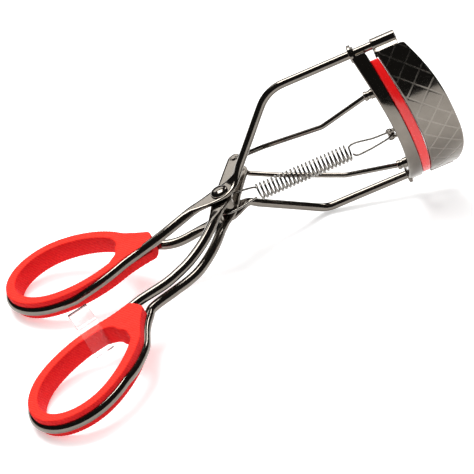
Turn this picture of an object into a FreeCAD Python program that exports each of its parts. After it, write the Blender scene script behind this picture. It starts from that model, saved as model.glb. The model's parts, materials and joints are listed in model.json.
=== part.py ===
"""Eyelash curler: a bent wire frame, a squeezed lever, two links and a sliding jaw.

Design frame: the pivot axis is Z through the origin, X points along the guide rods to the jaw,
and Y points from the lever's finger loop to the frame's. The last step lays the curler down on
a level surface, where it rests on both finger loops and on the bend of the lower guide rod.
"""
import FreeCAD
import Part
import math
import os
from FreeCAD import Vector

# ---------------------------------------------------------------- driving dimensions, in mm
HANDLE_R = 1.15            # radius of the handle wire
ROD_R = 0.97               # radius of the guide rod wire
LINK_R = 0.6               # radius of the link wire

ROD_Z = 18.0               # guide rods' distance from the middle plane
ROD_Y = 8.3                # guide rods' offset from the pivot
ROD_TIP_X = 49.4
SHOULDER_END = Vector(4.1, 2.4, 3.4)
CORNER = Vector(18.8, ROD_Y, ROD_Z)
CORNER_BEND_R = 6.5

PLATE_T = 1.05             # flattened wire round the rivet
LEVER_PLATE_Z = 1.3       # inner face of each lever plate
FRAME_PLATE_Z = 2.45       # inner face of each frame plate
SHORT_ARM = Vector(4.5, 11.9, 0)      # link hole's place on the lever's short arm
LINK_HOLE_R = LINK_R + 0.36           # loose, so the links can swing
RIVET_R = 1.25
RIVET_CLEARANCE = 0.05
RIVET_HEAD_R = 2.05
RIVET_HEAD_H = 1.0
SPACER_R = 1.9

LOOP_HALF_WIDTH = 10.4     # finger loops, to the middle of the wire
LOOP_START = 4.0           # where the arms end, at the narrow end of the loop
LOOP_WIDEST = 20.5         # from the narrow end to the widest place
LOOP_END = 12.7            # from the widest place to the far end
# Each loop: where its narrow end is, its heading, and the bow radius of its sides.
FRAME_LOOP = (Vector(-20.6, -3.3, 0), 174.0, 25.5)
LEVER_LOOP = (Vector(-23.6, -27.0, 0), 223.5, 28.9)

GRIP_HALF_H = 2.45         # soft grips
GRIP_INSIDE = 2.2          # how far the grip reaches inside the wire's middle line
GRIP_OUTSIDE = 0.25
GRIP_ROOT = 2.5            # the grip's sides run straight from here to its blunt tip
GRIP_TIP = -2.0
GRIP_TIP_HALF_W = 2.4
GRIP_TIP_CROWN = 0.8
GRIP_WEB = 6.1             # solid web at the narrow end of the loop
GRIP_MOUTH = 0.7           # crown of the opening's blunt narrow end

BAND_ALONG = 8.0           # clear keeper band, its place along the lever loop
BAND_WIDTH = 4.8
BAND_LOW, BAND_HIGH = -3.8, 5.8
BAND_WALL = 0.5
BAND_REACH = 4.4

JAW_SAG = 8.5              # curve of the jaw, plate, bar and pad alike
JAW_T = 3.0                # height of the bar and the pad, square to the guide rods
SLEEVE_R = 1.45
PLATE_SKIN = 0.9
EYELET_X = 39.4
EYELET_R = 2.15
EYELET_W = 1.3
SLIDE_CLEARANCE = 0.12
BOSS_X, BOSS_Z, BOSS_R = 39.6, 10.3, 1.15
LINK_SPREAD = Vector(12.5, 8.0, 3.7)
LINK_BEND = Vector(26.9, 2.3, 7.3)

COIL_R = 1.85
COIL_Y = -0.7
COIL_WIRE_R = 0.24
COIL_START_X, COIL_END_X = 8.0, 30.3
COIL_TURNS = 24
HOOK_HALF_W = 2.25
REAR_HOOK_DROOP = 1.2
FRONT_POST_X = 40.1
POST_R = 0.6
LUG_SLOT_HALF = 0.5        # slot in the lug, for the spring's hook

UP = Vector(0, 0, 1)
JAW_R = (ROD_Z ** 2 + JAW_SAG ** 2) / (2 * JAW_SAG)
JAW_CENTRE_Y = ROD_Y - JAW_SAG + JAW_R


# ---------------------------------------------------------------- helpers
def mirrored(point):
    """The same point on the other side of the middle plane."""
    return Vector(point.x, point.y, -point.z)


def rounded_path(points, radius):
    """A wire of straight stretches with an arc of the given radius at each corner."""
    edges = []
    start = points[0]
    for before, corner, after in zip(points, points[1:], points[2:]):
        a = (before - corner).normalize()
        b = (after - corner).normalize()
        half = a.getAngle(b) / 2
        reach = radius / math.tan(half)
        middle = (a + b).normalize()
        arc_mid = corner + middle * (radius / math.sin(half) - radius)
        first, last = corner + a * reach, corner + b * reach
        edges.append(Part.makeLine(start, first))
        edges.append(Part.Arc(first, arc_mid, last).toShape())
        start = last
    edges.append(Part.makeLine(start, points[-1]))
    return Part.Wire(edges)


def smooth_path(points):
    """A smooth wire through the points."""
    curve = Part.BSplineCurve()
    curve.interpolate(points)
    return Part.Wire([curve.toShape()])


def round_bar(path, radius):
    """A round bar along a wire."""
    edge = path.OrderedEdges[0]
    start = edge.valueAt(edge.FirstParameter)
    heading = edge.tangentAt(edge.FirstParameter)
    section = Part.Wire([Part.makeCircle(radius, start, heading)])
    return path.makePipeShell([section], True, False)


def slab(outline, low, high):
    """A flat outline in the XY plane, made into a plate between two heights."""
    face = Part.Face(outline)
    face.translate(Vector(0, 0, low))
    return face.extrude(Vector(0, 0, high - low))


def tapered_bar(p, p_r, q, q_r, low, high):
    """A plate with two round ends of different radius and straight sides."""
    along = q - p
    side = math.acos((p_r - q_r) / along.Length)
    heading = math.atan2(along.y, along.x)

    def on(centre, radius, angle):
        return centre + Vector(math.cos(angle), math.sin(angle), 0) * radius

    p1, p2 = on(p, p_r, heading + side), on(p, p_r, heading - side)
    q1, q2 = on(q, q_r, heading + side), on(q, q_r, heading - side)
    outline = Part.Wire([
        Part.Arc(p1, on(p, p_r, heading + math.pi), p2).toShape(),
        Part.makeLine(p2, q2),
        Part.Arc(q2, on(q, q_r, heading), q1).toShape(),
        Part.makeLine(q1, p1)])
    return slab(outline, low, high)


def pivot_hole(radius):
    return Part.makeCylinder(radius, 20, Vector(0, 0, -10))


def export(name, shape):
    """Write one sub-part, laid down in its resting place."""
    if not shape.Solids:
        raise ValueError(name + " has no solid")
    placed = shape.copy()
    placed.Placement = RESTING.multiply(placed.Placement)
    placed.exportStep(os.path.join("parts", name + ".step"))


# ---------------------------------------------------------------- finger loops and grips
def loop_point(u, v):
    return Vector(u, v, 0)


def side_height(u, offset, bow):
    """A side's distance from the loop's middle line, with the outline moved out by offset."""
    return math.sqrt((bow + offset) ** 2 - (u - LOOP_WIDEST) ** 2) - bow + LOOP_HALF_WIDTH


def loop_edges(loop, start, offset):
    """Side arc, rounded far end and side arc, from the left side round to the right."""
    bow = loop[2]
    widest = LOOP_HALF_WIDTH + offset
    middle = (start + LOOP_WIDEST) / 2
    end = Part.Ellipse(loop_point(LOOP_WIDEST + LOOP_END + offset, 0),
                       loop_point(LOOP_WIDEST, widest), loop_point(LOOP_WIDEST, 0))
    edges = [Part.ArcOfEllipse(end, -math.pi / 2, math.pi / 2).toShape()]
    for side in (1, -1):
        arc = Part.Arc(loop_point(start, side * side_height(start, offset, bow)),
                       loop_point(middle, side * side_height(middle, offset, bow)),
                       loop_point(LOOP_WIDEST, side * widest))
        edges.append(arc.toShape())
    return edges


def to_loop(loop):
    return FreeCAD.Placement(loop[0], FreeCAD.Rotation(UP, loop[1]))


def finger_loop(loop):
    """The wire of one finger loop, open at its narrow end where the arms come in."""
    course = Part.Wire(Part.__sortEdges__(loop_edges(loop, LOOP_START, 0)))
    wire = round_bar(course, HANDLE_R)
    wire.Placement = to_loop(loop)
    return wire


def closed_slab(edges, half_height):
    return slab(Part.Wire(Part.__sortEdges__(edges)), -half_height, half_height)


def grip(loop, cut):
    """The soft grip inside the loop, grooved for the wire and blunt at the narrow end."""
    root = side_height(GRIP_ROOT, GRIP_OUTSIDE, loop[2])
    edges = loop_edges(loop, GRIP_ROOT, GRIP_OUTSIDE)
    for side in (1, -1):
        edges.append(Part.makeLine(loop_point(GRIP_ROOT, side * root),
                                   loop_point(GRIP_TIP, side * GRIP_TIP_HALF_W)))
    edges.append(Part.Arc(loop_point(GRIP_TIP, -GRIP_TIP_HALF_W), loop_point(GRIP_TIP - GRIP_TIP_CROWN, 0),
                          loop_point(GRIP_TIP, GRIP_TIP_HALF_W)).toShape())
    body = closed_slab(edges, GRIP_HALF_H)

    mouth = GRIP_WEB + GRIP_MOUTH
    corner = side_height(mouth, -GRIP_INSIDE, loop[2])
    edges = loop_edges(loop, mouth, -GRIP_INSIDE)
    edges.append(Part.Arc(loop_point(mouth, -corner), loop_point(GRIP_WEB, 0),
                          loop_point(mouth, corner)).toShape())
    body = body.cut(closed_slab(edges, GRIP_HALF_H + 1))
    body.Placement = to_loop(loop)
    for wire in cut:
        body = body.cut(wire)
    return body


def loop_ends(loop):
    """The two places where the arms meet the loop's wire, left then right."""
    across = side_height(LOOP_START, 0, loop[2])
    return [to_loop(loop).multVec(loop_point(LOOP_START, side * across)) for side in (1, -1)]


def keeper_band():
    """A thin rectangular ring of clear plastic round the facing side of the lever's loop."""
    bow = LEVER_LOOP[2]
    height = side_height(BAND_ALONG, 0, bow)
    slope = math.asin((LOOP_WIDEST - BAND_ALONG) / bow)
    place = to_loop(LEVER_LOOP).multiply(
        FreeCAD.Placement(loop_point(BAND_ALONG, -height), FreeCAD.Rotation(UP, -math.degrees(slope))))
    inner_side = GRIP_INSIDE + 0.3
    deep = inner_side + BAND_REACH
    tall = BAND_HIGH - BAND_LOW
    corner = Vector(-BAND_WIDTH / 2, -BAND_REACH, BAND_LOW)
    outer = Part.makeBox(BAND_WIDTH, deep + 2 * BAND_WALL, tall, corner - Vector(0, BAND_WALL, 0))
    inner = Part.makeBox(BAND_WIDTH, deep, tall - 2 * BAND_WALL, corner + Vector(0, 0, BAND_WALL))
    ring = outer.cut(inner)
    ring.Placement = place
    return ring


# ---------------------------------------------------------------- frame
def guide_rod(side):
    """Guide rod and shoulder of one side, bent from one wire."""
    points = [SHOULDER_END, CORNER, Vector(ROD_TIP_X, ROD_Y, ROD_Z)]
    if side < 0:
        points = [mirrored(point) for point in points]
    return round_bar(rounded_path(points, CORNER_BEND_R), ROD_R)


def side_plate(side, inner_z, pieces):
    """Flattened wire round the rivet: round-ended plates joined into one."""
    low, high = inner_z, inner_z + PLATE_T
    if side < 0:
        low, high = -high, -low
    plate = None
    for p, p_r, q, q_r in pieces:
        bar = tapered_bar(p, p_r, q, q_r, low, high)
        plate = bar if plate is None else plate.fuse(bar)
    return plate.removeSplitter()


FRAME_ARM_START = Vector(-6.6, -1.4, 0)
LEVER_ARM_START = Vector(-2.3, -5.3, 0)
# Bends of the arms on their way to the loops: x, y and distance from the middle plane.
FRAME_ARM_VIA = {1: [(-13.0, -3.1, 2.15), (-17.6, -4.0, 1.4)],
                 -1: [(-13.0, -3.1, 2.15), (-17.6, -2.9, 1.4)]}
LEVER_ARM_VIA = {1: [(-5.4, -12.0, 1.7), (-10.1, -17.2, 1.45), (-17.3, -21.8, 1.35), (-23.2, -24.1, 0.75)],
                 -1: [(-5.2, -12.4, 1.7), (-9.4, -18.4, 1.45), (-16.6, -22.3, 1.35), (-20.8, -25.6, 0.75)]}


def frame_plate(side):
    shoulder_foot = Vector(SHOULDER_END.x, SHOULDER_END.y, 0)
    pieces = [(Vector(), 2.4, shoulder_foot, 1.2), (Vector(), 2.4, FRAME_ARM_START, 1.2)]
    plate = side_plate(side, FRAME_PLATE_Z, pieces)
    return plate.cut(pivot_hole(RIVET_R)).cut(guide_rod(side))


def lever_plate(side):
    pieces = [(Vector(), 2.45, SHORT_ARM, 2.1), (Vector(), 2.45, LEVER_ARM_START, 1.35)]
    plate = side_plate(side, LEVER_PLATE_Z, pieces)
    link_hole = Part.makeCylinder(LINK_HOLE_R, 20, SHORT_ARM - Vector(0, 0, 10))
    return plate.cut(pivot_hole(RIVET_R + RIVET_CLEARANCE)).cut(link_hole)


def handle_arm(start, inner_z, side, via, end, plate, loop):
    """Round arm from the flattened plate, past its bends, to the finger loop."""
    points = [Vector(start.x, start.y, side * (inner_z + PLATE_T / 2))]
    for x, y, height in via:
        points.append(Vector(x, y, side * height))
    points.append(end)
    arm = round_bar(smooth_path(points), HANDLE_R)
    return arm.cut(plate).cut(loop)


def pivot_rivet():
    """Shaft with a domed head on top and a flatter peened end below."""
    top = FRAME_PLATE_Z + PLATE_T
    rivet = Part.makeCylinder(RIVET_R, 2 * top, Vector(0, 0, -top))
    for side, height in ((1, RIVET_HEAD_H), (-1, RIVET_HEAD_H * 0.7)):
        ball_r = (RIVET_HEAD_R ** 2 + height ** 2) / (2 * height)
        ball = Part.makeSphere(ball_r, Vector(0, 0, side * (top + height - ball_r)))
        keep = Part.makeCylinder(RIVET_HEAD_R + 1, height + 1, Vector(0, 0, side * top), UP * side)
        rivet = rivet.fuse(ball.common(keep))
    return rivet.removeSplitter()


def spacer_bush():
    half = LEVER_PLATE_Z - 0.05
    ring = Part.makeCylinder(SPACER_R, 2 * half, Vector(0, 0, -half))
    return ring.cut(pivot_hole(RIVET_R))


# ---------------------------------------------------------------- jaw
def arc_strip(near, far, x_low, x_high):
    """A strip along the jaw's curve between two offsets from it, long in X."""
    def ring(radius):
        return Part.makeCylinder(radius, x_high - x_low, Vector(x_low, JAW_CENTRE_Y, 0), Vector(1, 0, 0))

    below = Part.makeBox(x_high - x_low, ROD_Y + 43, 2 * ROD_Z + 4, Vector(x_low, -40, -ROD_Z - 2))
    return ring(JAW_R - near).cut(ring(JAW_R - far)).common(below)


def bowed_edge(mid, end, half_z, fullness):
    """An edge across the jaw, bowed out in the middle; a fullness above 2 squares it off."""
    points = []
    for step in range(-4, 5):
        share = step / 4
        points.append(Vector(mid + (end - mid) * abs(share) ** fullness, -40, share * half_z))
    curve = Part.BSplineCurve()
    curve.interpolate(points)
    return curve.toShape()


def bowed_outline(back_mid, back_end, front_mid, front_end, half_z, fullness):
    """A plan outline with a bowed back edge and a bowed front edge, as a tall block."""
    outline = Part.Wire(Part.__sortEdges__([
        bowed_edge(back_mid, back_end, half_z, 2),
        bowed_edge(front_mid, front_end, half_z, fullness),
        Part.makeLine(Vector(back_end, -40, half_z), Vector(front_end, -40, half_z)),
        Part.makeLine(Vector(back_end, -40, -half_z), Vector(front_end, -40, -half_z))]))
    return Part.Face(outline).extrude(Vector(0, 80, 0))


def jaw_strip(near, far, back_mid, back_end, front_mid, front_end, half_z, fullness=2):
    low, high = min(back_mid, back_end) - 2, max(front_mid, front_end) + 2
    block = bowed_outline(back_mid, back_end, front_mid, front_end, half_z, fullness)
    return arc_strip(near, far, low, high).common(block)


NEAR = -JAW_T / 2          # the jaw pieces' near face, measured from the curve


def top_plate():
    """The curved plate: a skin with a pressing rim at its back, and a rolled sleeve at each end."""
    skin = jaw_strip(NEAR, NEAR + PLATE_SKIN, 46.6, 44.2, 55.4, 50.6, 17.3, 2.6)
    rim = jaw_strip(NEAR, NEAR + JAW_T, 46.6, 44.4, 47.5, 45.3, 15.6)
    plate = skin.fuse(rim)
    for side in (1, -1):
        at = Vector(44.1, ROD_Y, side * ROD_Z)
        sleeve = Part.makeCylinder(SLEEVE_R, 5.7, at, Vector(1, 0, 0))
        bore = Part.makeCylinder(ROD_R, 12, at - Vector(3, 0, 0), Vector(1, 0, 0))
        lip = Part.makeBox(5.7, 2.2, 0.9, Vector(44.1, ROD_Y - 3.2, side * (ROD_Z - 0.95) - 0.45))
        plate = plate.fuse(lip).fuse(sleeve).cut(bore)
    return plate.removeSplitter()


def eyelet(side):
    at = Vector(EYELET_X - EYELET_W / 2, ROD_Y, side * ROD_Z)
    along = Vector(1, 0, 0)
    ring = Part.makeCylinder(EYELET_R, EYELET_W, at, along)
    return ring.cut(Part.makeCylinder(ROD_R + SLIDE_CLEARANCE, EYELET_W, at, along))


def curve_y(z):
    """Height of the jaw's curve at a distance from the middle plane."""
    return JAW_CENTRE_Y - math.sqrt(JAW_R ** 2 - z ** 2)


def jaw_bar():
    """Curved channel that holds the pad, with the eyelets at its ends."""
    bar = jaw_strip(NEAR, NEAR + JAW_T, 41.4, 38.9, 44.2, 42.3, 17.2)
    groove = jaw_strip(NEAR + 0.7, NEAR + JAW_T - 0.7, 42.6, 40.4, 48.0, 46.0, 15.2)
    bar = bar.cut(groove)
    for side in (1, -1):
        bar = bar.cut(Part.makeCylinder(EYELET_R, 12, Vector(34, ROD_Y, side * ROD_Z), Vector(1, 0, 0)))
    return bar


def silicone_pad():
    """Pad with a wide pressing face in front and a narrower root held in the channel."""
    root = jaw_strip(NEAR + 0.75, NEAR + JAW_T - 0.75, 42.7, 40.65, 45.0, 43.3, 15.0)
    face = jaw_strip(NEAR + 0.1, NEAR + JAW_T - 0.1, 44.3, 42.8, 46.35, 44.15, 15.6)
    return root.fuse(face).removeSplitter()


def link_end(side):
    return Vector(BOSS_X, curve_y(BOSS_Z), side * BOSS_Z)


def link_boss(side, bar):
    """Small boss on the back of the bar, bored for the link's end."""
    middle = link_end(side)
    body = Part.makeCylinder(BOSS_R, 2.95, middle - Vector(1.3, 0, 0), Vector(1, 0, 0))
    bore = Part.makeCylinder(LINK_R + 0.22, 1.8, middle - Vector(1.3, 0, 0), Vector(1, 0, 0))
    return body.cut(bar).cut(bore)


def spring_lug(bar):
    """Forked tab on the back of the bar with a cross post for the spring's front hook."""
    y = curve_y(0)
    tab = Part.makeBox(42.0 - FRONT_POST_X, 1.4, 2.4, Vector(FRONT_POST_X, y - 0.7, -1.2))
    slot = Part.makeBox(2.0, 1.6, 2 * LUG_SLOT_HALF, Vector(FRONT_POST_X, y - 0.8, -LUG_SLOT_HALF))
    post = Part.makeCylinder(POST_R, 2.4, Vector(FRONT_POST_X, y, -1.2))
    return tab.cut(slot).fuse(post).cut(bar).removeSplitter()


# ---------------------------------------------------------------- links and spring
def link(side):
    """One link: a pin end in the lever's hole, then forward and outward to the jaw's boss."""
    low = LINK_R + 0.02
    pin = Vector(SHORT_ARM.x, SHORT_ARM.y, low)
    ahead = Vector(LINK_SPREAD.x - SHORT_ARM.x, LINK_SPREAD.y - SHORT_ARM.y, 0).normalize()
    end = link_end(1)
    points = [pin, pin + ahead * 3.6, LINK_SPREAD, LINK_BEND, Vector(end.x - 0.9, end.y, end.z)]
    stem = Part.makeCylinder(LINK_R, LEVER_PLATE_Z + PLATE_T - low, pin)
    elbow = Part.makeSphere(LINK_R, pin)
    shape = round_bar(rounded_path(points, 2.5), LINK_R).fuse(stem).fuse(elbow).removeSplitter()
    if side < 0:
        shape = shape.mirror(Vector(), UP)
    return shape


def return_spring():
    """Extension coil with a long rectangular hook at each end."""
    length = COIL_END_X - COIL_START_X
    helix = Part.makeLongHelix(length / COIL_TURNS, length, COIL_R)
    section = Part.Wire([Part.makeCircle(COIL_WIRE_R, Vector(COIL_R, 0, 0), Vector(0, 1, 0))])
    coil = Part.Wire(helix).makePipeShell([section], True, True)
    coil.Placement = FreeCAD.Placement(Vector(COIL_START_X, COIL_Y, 0),
                                       FreeCAD.Rotation(Vector(0, 1, 0), 90))
    round_it = COIL_WIRE_R + 0.1
    front_y = curve_y(0)
    hooks = []
    for root, out, far, top, bottom in (
            (COIL_START_X, -1, -SPACER_R - round_it, HOOK_HALF_W, -HOOK_HALF_W - REAR_HOOK_DROOP),
            (COIL_END_X, 1, FRONT_POST_X + POST_R + round_it, front_y + HOOK_HALF_W,
             front_y - HOOK_HALF_W)):
        points = [Vector(root, COIL_Y + COIL_R, 0), Vector(root + out * 1.2, top, 0), Vector(far, top, 0),
                  Vector(far, bottom, 0), Vector(root + out * 1.2, bottom, 0),
                  Vector(root, COIL_Y - COIL_R, 0)]
        hooks.append(round_bar(rounded_path(points, 0.3), COIL_WIRE_R))
    return Part.makeCompound([coil] + hooks)


# ---------------------------------------------------------------- resting place
def resting_placement():
    """Turn and lift the curler so that three low points lie on the level plane Z = 0."""
    frame_end = to_loop(FRAME_LOOP).multVec(loop_point(LOOP_WIDEST + LOOP_END, 0))
    lever_end = to_loop(LEVER_LOOP).multVec(loop_point(LOOP_WIDEST + LOOP_END, 0))
    low = Vector(0, 0, -GRIP_HALF_H)
    corner = mirrored(CORNER) + Vector(1.5, 0, -ROD_R)
    a, b, c = frame_end + low, lever_end + low, corner
    normal = (b - a).cross(c - a).normalize()
    if normal.z < 0:
        normal = normal * -1
    turn = FreeCAD.Rotation(normal, UP)
    heading = turn.multVec(Vector(1, 0, 0))
    square_up = FreeCAD.Rotation(UP, -math.degrees(math.atan2(heading.y, heading.x)))
    turn = square_up.multiply(turn)
    return FreeCAD.Placement(Vector(), turn)


def build():
    """Every node by name, in the design frame."""
    nodes = {}
    frame_left, frame_right = loop_ends(FRAME_LOOP)
    lever_left, lever_right = loop_ends(LEVER_LOOP)
    nodes["frame_loop"] = finger_loop(FRAME_LOOP)
    nodes["lever_loop"] = finger_loop(LEVER_LOOP)
    for name, side, frame_end, lever_end in (("upper", 1, frame_left, lever_right),
                                             ("lower", -1, frame_right, lever_left)):
        nodes["guide_rod_" + name] = guide_rod(side)
        nodes["frame_plate_" + name] = frame_plate(side)
        nodes["lever_plate_" + name] = lever_plate(side)
        nodes["frame_arm_" + name] = handle_arm(
            FRAME_ARM_START, FRAME_PLATE_Z, side, FRAME_ARM_VIA[side], frame_end,
            nodes["frame_plate_" + name], nodes["frame_loop"])
        nodes["lever_arm_" + name] = handle_arm(
            LEVER_ARM_START, LEVER_PLATE_Z, side, LEVER_ARM_VIA[side], lever_end,
            nodes["lever_plate_" + name], nodes["lever_loop"])
        nodes["eyelet_" + name] = eyelet(side)
        nodes["link_" + name] = link(side)
    for half, loop in (("frame", FRAME_LOOP), ("lever", LEVER_LOOP)):
        wires = [nodes[half + "_loop"], nodes[half + "_arm_upper"], nodes[half + "_arm_lower"]]
        nodes[half + "_grip"] = grip(loop, wires)
    nodes["keeper_band"] = keeper_band()
    nodes["pivot_rivet"] = pivot_rivet()
    nodes["spacer_bush"] = spacer_bush()
    nodes["top_plate"] = top_plate()
    nodes["jaw_bar"] = jaw_bar()
    nodes["link_boss_upper"] = link_boss(1, nodes["jaw_bar"])
    nodes["link_boss_lower"] = link_boss(-1, nodes["jaw_bar"])
    nodes["spring_lug"] = spring_lug(nodes["jaw_bar"])
    nodes["silicone_pad"] = silicone_pad()
    nodes["return_spring"] = return_spring()
    return nodes


NODES = build()
RESTING = resting_placement()
box = FreeCAD.BoundBox()
for node in NODES.values():
    laid = node.copy()
    laid.Placement = RESTING.multiply(laid.Placement)
    box.add(laid.optimalBoundingBox(False))
RESTING.Base = Vector(-box.Center.x, -box.Center.y, -box.ZMin)

os.makedirs("parts", exist_ok=True)
for name, node in NODES.items():
    export(name, node)
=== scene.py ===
"""Looks of the eyelash curler: bent wire, rolled sheet, soft grips and spring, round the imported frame.

Every piece is modelled in the curler's own design frame, in millimetres: the pivot axis is Z
through the origin, X runs forward along the guide rods, and Y from the lever's finger loop to the
frame's. TO_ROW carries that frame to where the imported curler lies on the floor, in metres.
"""
import json
import math

import bmesh
import bpy
from mathutils import Matrix, Vector


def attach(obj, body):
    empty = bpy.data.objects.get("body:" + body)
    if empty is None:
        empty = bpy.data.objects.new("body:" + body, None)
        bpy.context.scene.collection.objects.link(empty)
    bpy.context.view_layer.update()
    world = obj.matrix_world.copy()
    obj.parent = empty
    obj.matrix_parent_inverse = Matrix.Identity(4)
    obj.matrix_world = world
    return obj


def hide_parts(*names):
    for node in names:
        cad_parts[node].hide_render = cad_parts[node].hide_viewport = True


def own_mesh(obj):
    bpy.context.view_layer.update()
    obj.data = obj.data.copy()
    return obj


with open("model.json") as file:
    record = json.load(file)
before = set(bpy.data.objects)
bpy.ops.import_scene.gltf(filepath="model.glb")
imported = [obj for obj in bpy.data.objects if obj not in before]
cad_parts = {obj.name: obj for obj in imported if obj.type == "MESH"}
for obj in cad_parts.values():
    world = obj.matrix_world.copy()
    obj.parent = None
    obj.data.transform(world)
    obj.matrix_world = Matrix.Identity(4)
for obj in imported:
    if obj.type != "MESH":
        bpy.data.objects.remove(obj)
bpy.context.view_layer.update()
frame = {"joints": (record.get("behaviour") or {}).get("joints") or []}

# ---------------------------------------------------------------- sizes, in mm
HANDLE_R = 1.15
ROD_R = 0.97
LINK_R = 0.6
ROD_Y, ROD_Z = 8.3, 18.0
ROD_TIP_X = 49.4
CORNER_X = 18.8
SHOULDER_END = Vector((4.1, 2.4, 3.5))
CORNER_BEND = {1: 9.0, -1: 4.5}

PLATE_HALF_T = 0.52
LEVER_Z = 1.825            # middle of each lever plate
FRAME_Z = 2.975            # middle of each frame plate
PLATE_TOP = 3.5
RIVET_R = 1.25
RIVET_HEAD_R, RIVET_HEAD_H = 2.05, 1.05
RIVET_FOOT_R = 1.93        # its lower, flatter head
SPACER_R, SPACER_HALF_H = 1.9, 1.22
RUNNING_GAP = 0.02         # between pieces that turn or sit on each other
SHORT_ARM = Vector((4.5, 11.9, 0))
SHORT_ARM_R = 1.7
LINK_HOLE_R = 0.85

LOOP_HALF_WIDTH = 10.4
LOOP_WIDEST = 20.5
LOOP_END = 12.7
LOOP_RISE = 0.95           # how far each side of the wire stands off the middle plane near its arm
LOOP_LEVEL = 16.5          # where it comes down to the middle plane
# Each loop: where its narrow end is, its heading, the bow radius of its sides, and its grip's tip.
FRAME_LOOP_PLACE = (Vector((-20.6, -3.3, 0)), 174.0, 25.5, -2.3)
LEVER_LOOP_PLACE = (Vector((-23.6, -27.0, 0)), 223.5, 28.9, -1.1)

GRIP_HALF_H = 2.45
GRIP_INSIDE = 2.1
GRIP_OUTSIDE = 0.25
GRIP_WEB = 6.2             # where the finger hole begins, along the loop
GRIP_MOUTH = 7.4           # where its rounded end meets the sides
GRIP_CORNER_R = 0.4
GRIP_STEP = 0.18
GROOVE_R, GROOVE_SHIFT = 1.2, 0.95     # the wire's groove, and how far it can lie off the middle
RIB_PITCH, RIB_SLANT, RIB_HEIGHT = 0.8, 1.6, 0.035

BAND_ALONG, BAND_WIDTH, BAND_WALL, BAND_REACH = 8.0, 4.8, 0.5, 4.2
BAND_LOW, BAND_HIGH = -3.75, 5.75
BAND_CORNER_R = 0.8

JAW_SAG = 8.5
JAW_R = (ROD_Z ** 2 + JAW_SAG ** 2) / (2 * JAW_SAG)
JAW_CENTRE_Y = ROD_Y - JAW_SAG + JAW_R
JAW_HALF_T = 1.5
# Edges of the jaw's pieces: x at the middle of the jaw, and x where the edge comes to its ends.
PLATE_BACK, PLATE_FRONT = (46.6, 44.2), (55.28, 50.5)
PLATE_HALF_Z = 16.4
PLATE_SPAN = 17.3          # where the curves of its edges would meet the guide rods
PLATE_SKIN = 0.9
PLATE_COLUMNS = 60
RIM_DEPTH, RIM_HALF_Z = 2.1, 15.9      # the back edge folded in to press on the pad
BAR_BACK, BAR_FRONT, BAR_FLOOR = (41.4, 38.9), (44.2, 42.3), (42.6, 40.4)
BAR_HALF_Z = 17.2
PAD_ROOT, PAD_NECK, PAD_FACE = (42.8, 40.7), (44.3, 42.75), (46.5, 44.55)
PAD_HALF_Z = 15.6
CHANNEL_HALF, ROOT_HALF = 0.8, 0.74
SLEEVE_R, SLEEVE_BACK_X, SLEEVE_LENGTH = 1.45, 44.1, 5.7
SLEEVE_WALL = 0.24
SLEEVE_FROM, SLEEVE_WRAP = 190, 318    # degrees: where it leaves the plate, and how far it wraps
EYELET_X, EYELET_W, EYELET_R = 39.4, 1.3, 2.12
BOSS_X, BOSS_Z = 39.6, 10.3
LINK_KNEE = Vector((6.0, 11.3, 2.6))
LINK_SPREAD = Vector((12.5, 8.5, 4.4))
LINK_BEND = Vector((26.9, 2.3, 7.3))
LINK_RADII = [0.62, 1.6, 6.0, 3.0]     # at the pin, the knee, the spread and the bend

COIL_R, COIL_WIRE_R, COIL_TURNS, COIL_SAMPLES = 1.8, 0.24, 24, 24
COIL_START = Vector((8.0, -0.9, 0))
COIL_END = Vector((30.3, -0.4, 0))
FRONT_POST_X, POST_R = 40.1, 0.6

LATTICE_CELL = 3.5         # spacing of the engraved lines, square to themselves
LATTICE_LINE = 0.16
LATTICE_DEPTH = 0.04

WIRE_STEP = 0.35
JAW_STEP, PLATE_STEP = 0.4, 0.15
CRISP, ROUND = 35, 60      # degrees: sharper edges than this stay sharp on a piece

CAMERA_AT = Vector((78.4, -426.8, 297.6))
CAMERA_AIM = Vector((-0.5, -4.8, -6.3))
CAMERA_RIGHT = Vector((0.9113, -0.1143, -0.3955))
CAMERA_LENS = 178.1


# ---------------------------------------------------------------- design frame
def joint(name):
    return next(j for j in frame["joints"] if j["name"] == name)


UP = Vector((0, 0, 1))
PIVOT = Vector(joint("lever_pivot")["pos_m"])
DESIGN_Z = Vector(joint("lever_pivot")["axis"]).normalized()
DESIGN_X = -Vector(joint("jaw_slide")["axis"]).normalized()
DESIGN_Y = DESIGN_Z.cross(DESIGN_X).normalized()
TURN = Matrix((DESIGN_X, DESIGN_Y, DESIGN_Z)).transposed().to_4x4()
TO_ROW = Matrix.Translation(PIVOT) @ TURN @ Matrix.Scale(0.001, 4)


def mirrored(p, side):
    return Vector((p[0], p[1], p[2] * side))


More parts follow.
